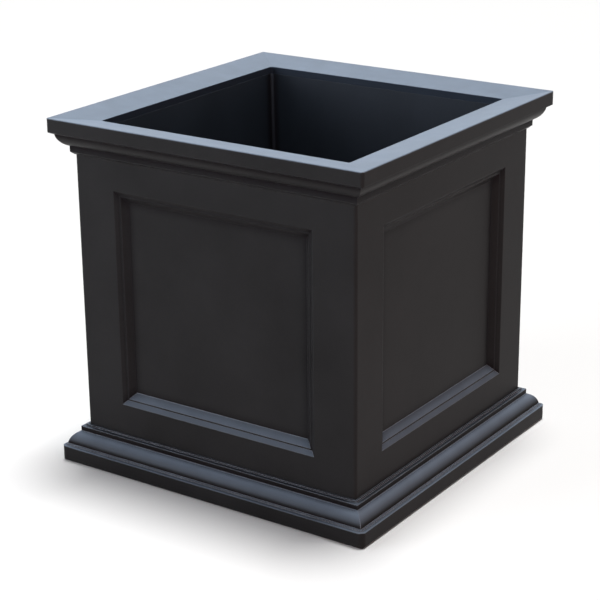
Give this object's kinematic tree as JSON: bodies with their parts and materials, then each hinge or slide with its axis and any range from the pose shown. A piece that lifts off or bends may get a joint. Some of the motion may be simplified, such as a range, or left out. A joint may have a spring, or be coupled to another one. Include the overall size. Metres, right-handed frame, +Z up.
{
  "type": "square planter",
  "caption": "Square floor planter with crown and base mouldings, framed panels, and a tub with a water reservoir, lift-out soil platform, fill pipe, level gauge and drain plug.",
  "frame": {"origin": "middle of the footprint, on the floor", "axes": "+Z up, -Y out of the front face, +Y out of the back face that has the overflow"},
  "size_m": [0.514, 0.514, 0.506],
  "materials": {
    "casing_resin": "satin black moulded resin with a fine grain",
    "tub_resin": "dull black moulded resin",
    "platform_resin": "dark grey moulded resin",
    "cap_resin": "satin blue-grey moulded resin",
    "fitting_resin": "satin black moulded resin",
    "float_resin": "glossy red resin",
    "lens_resin": "clear moulded resin",
    "rubber": "dull black rubber",
    "steel": "stainless steel"
  },
  "bodies": {
    "casing": {"rim_frame": "casing_resin", "body_shell": "casing_resin", "base_skirt": "casing_resin", "base_plate": "tub_resin", "inner_tub": "tub_resin", "reservoir": "tub_resin", "overflow_spout": "fitting_resin", "spout_gasket": "rubber", "spout_nut": "fitting_resin", "rim_screws": "steel", "base_screws": "steel", "reservoir_screws": "steel", "foot_pad_front_left": "rubber", "foot_pad_front_right": "rubber", "foot_pad_back_left": "rubber", "foot_pad_back_right": "rubber"},
    "platform": {"soil_platform": "platform_resin", "fill_pipe": "platform_resin", "gauge_pipe": "platform_resin", "gauge_lens": "lens_resin", "wick_cup_front_left": "platform_resin", "wick_cup_front_right": "platform_resin", "wick_cup_back_left": "platform_resin", "wick_cup_back_right": "platform_resin"},
    "cap": {"fill_cap": "cap_resin"},
    "float": {"gauge_float": "float_resin"},
    "plug": {"overflow_plug": "rubber"}
  },
  "joints": [
    {"name": "platform_lift", "type": "slide", "parent": "casing", "child": "platform", "axis": [0, 0, 1], "range_m": [0, 0.49]},
    {"name": "cap_pull", "type": "slide", "parent": "platform", "child": "cap", "axis": [0, 0, 1], "range_m": [0, 0.07]},
    {"name": "float_rise", "type": "slide", "parent": "platform", "child": "float", "axis": [0, 0, 1], "range_m": [0, 0.04]},
    {"name": "plug_pull", "type": "slide", "parent": "casing", "child": "plug", "axis": [0, 1, 0], "range_m": [0, 0.05]}
  ]
}
